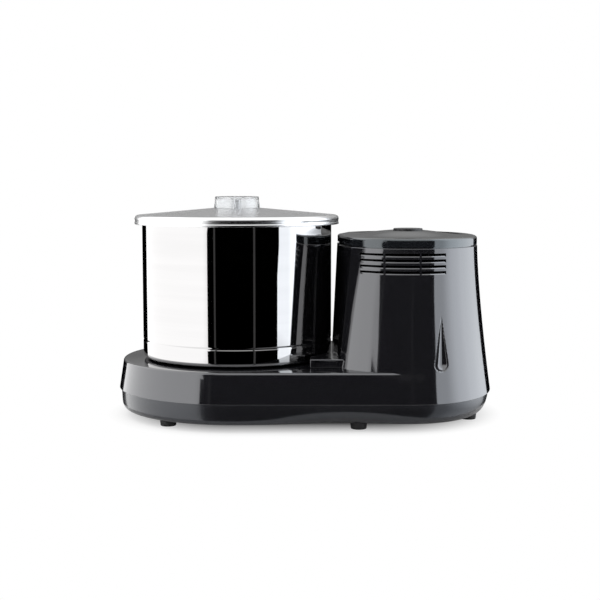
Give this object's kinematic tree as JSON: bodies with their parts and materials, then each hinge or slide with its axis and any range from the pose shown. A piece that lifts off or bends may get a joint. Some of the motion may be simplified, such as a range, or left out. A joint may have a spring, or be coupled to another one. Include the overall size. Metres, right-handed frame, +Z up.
{
  "type": "wet grinder",
  "caption": "Table-top wet grinder: lidded steel drum with stone floor and conical rollers, on a long base beside a motor tower.",
  "frame": {"origin": "under the middle of the length and width, at the feet's undersides", "axes": "+X along the length from the drum towards the motor tower, +Y towards the rear, +Z up"},
  "size_m": [0.433, 0.276, 0.253],
  "materials": {
    "housing_gloss": "gloss black",
    "tray_plastic": "smooth charcoal",
    "drum_steel": "mirror-polished stainless steel",
    "knob_clear": "clear plastic",
    "foot_rubber": "matt",
    "inner_plastic": "matt black",
    "plain_steel": "plain turned or pressed steel",
    "cast_metal": "as cast",
    "stone": "honed granite",
    "winding_copper": "lacquered copper wire"
  },
  "bodies": {
    "housing": {"lower_tray": "tray_plastic", "upper_housing": "housing_gloss", "tower_cap": "housing_gloss", "cap_disc": "housing_gloss", "foot_1": "foot_rubber", "foot_2": "foot_rubber", "foot_3": "foot_rubber", "foot_4": "foot_rubber", "foot_5": "foot_rubber", "foot_6": "foot_rubber", "spindle": "plain_steel", "spindle_flange": "cast_metal", "lower_bearing": "plain_steel", "upper_bearing": "plain_steel", "bearing_spacer": "plain_steel", "stator_stack": "plain_steel", "lower_winding": "winding_copper", "upper_winding": "winding_copper", "lower_end_shield": "cast_metal", "upper_end_shield": "cast_metal", "lower_motor_bearing": "plain_steel", "upper_motor_bearing": "plain_steel", "motor_bracket": "plain_steel", "rubber_mount_1": "foot_rubber", "rubber_mount_2": "foot_rubber", "rubber_mount_3": "foot_rubber", "rubber_mount_4": "foot_rubber", "capacitor": "inner_plastic", "drive_belt": "foot_rubber", "cord_grommet": "foot_rubber", "switch_housing": "housing_gloss"},
    "rocker": {"rocker_key": "inner_plastic"},
    "hub": {"drum_pulley": "cast_metal", "drive_coupler": "cast_metal", "slinger_ring": "foot_rubber"},
    "drum": {"drum_shell": "drum_steel", "drive_socket": "cast_metal", "base_stone": "stone", "centre_tube": "drum_steel"},
    "lid": {"lid": "drum_steel", "lid_knob": "knob_clear", "knob_screw": "plain_steel", "knob_washer": "foot_rubber"},
    "carrier": {"carrier_sleeve": "plain_steel", "carrier_grip": "inner_plastic", "axle_1": "plain_steel", "axle_2": "plain_steel", "axle_nut_1": "plain_steel", "axle_nut_2": "plain_steel", "wiper_arm": "plain_steel", "wiper_blade": "inner_plastic"},
    "roller_1": {"roller_stone_1": "stone", "roller_bush_1": "inner_plastic"},
    "roller_2": {"roller_stone_2": "stone", "roller_bush_2": "inner_plastic"},
    "rotor": {"motor_shaft": "plain_steel", "rotor_core": "plain_steel", "cooling_fan": "inner_plastic", "motor_pulley": "cast_metal"}
  },
  "joints": [
    {"name": "drum_spin", "type": "hinge", "parent": "housing", "child": "hub", "pos_m": [-0.07855, 0, 0.04], "axis": [0, 0, 1], "continuous": true},
    {"name": "drum_lift", "type": "slide", "parent": "hub", "child": "drum", "axis": [0, 0, 1], "range_m": [0, 0.15]},
    {"name": "lid_lift", "type": "slide", "parent": "drum", "child": "lid", "axis": [0, 0, 1], "range_m": [0, 0.08]},
    {"name": "carrier_lift", "type": "slide", "parent": "housing", "child": "carrier", "axis": [0, 0, 1], "range_m": [0, 0.15]},
    {"name": "roller_1_spin", "type": "hinge", "parent": "carrier", "child": "roller_1", "pos_m": [-0.07855, 0, 0.0908], "axis": [0.9135, 0, 0.4067], "continuous": true},
    {"name": "roller_2_spin", "type": "hinge", "parent": "carrier", "child": "roller_2", "pos_m": [-0.07855, 0, 0.0908], "axis": [-0.9135, 0, 0.4067], "continuous": true},
    {"name": "rotor_spin", "type": "hinge", "parent": "housing", "child": "rotor", "pos_m": [0.12105, 0, 0.1], "axis": [0, 0, 1], "continuous": true},
    {"name": "rocker_tilt", "type": "hinge", "parent": "housing", "child": "rocker", "pos_m": [0.02385, -0.09726, 0.07115], "axis": [0, 0, 1], "range_deg": [0, 10]}
  ],
  "couplings": [
    {"joint": "rotor_spin", "follows": "drum_spin", "ratio": 9.5294},
    {"joint": "roller_1_spin", "follows": "drum_spin", "ratio": 2.4586},
    {"joint": "roller_2_spin", "follows": "drum_spin", "ratio": 2.4586},
    {"joint": "carrier_lift", "follows": "drum_lift", "ratio": 1}
  ]
}
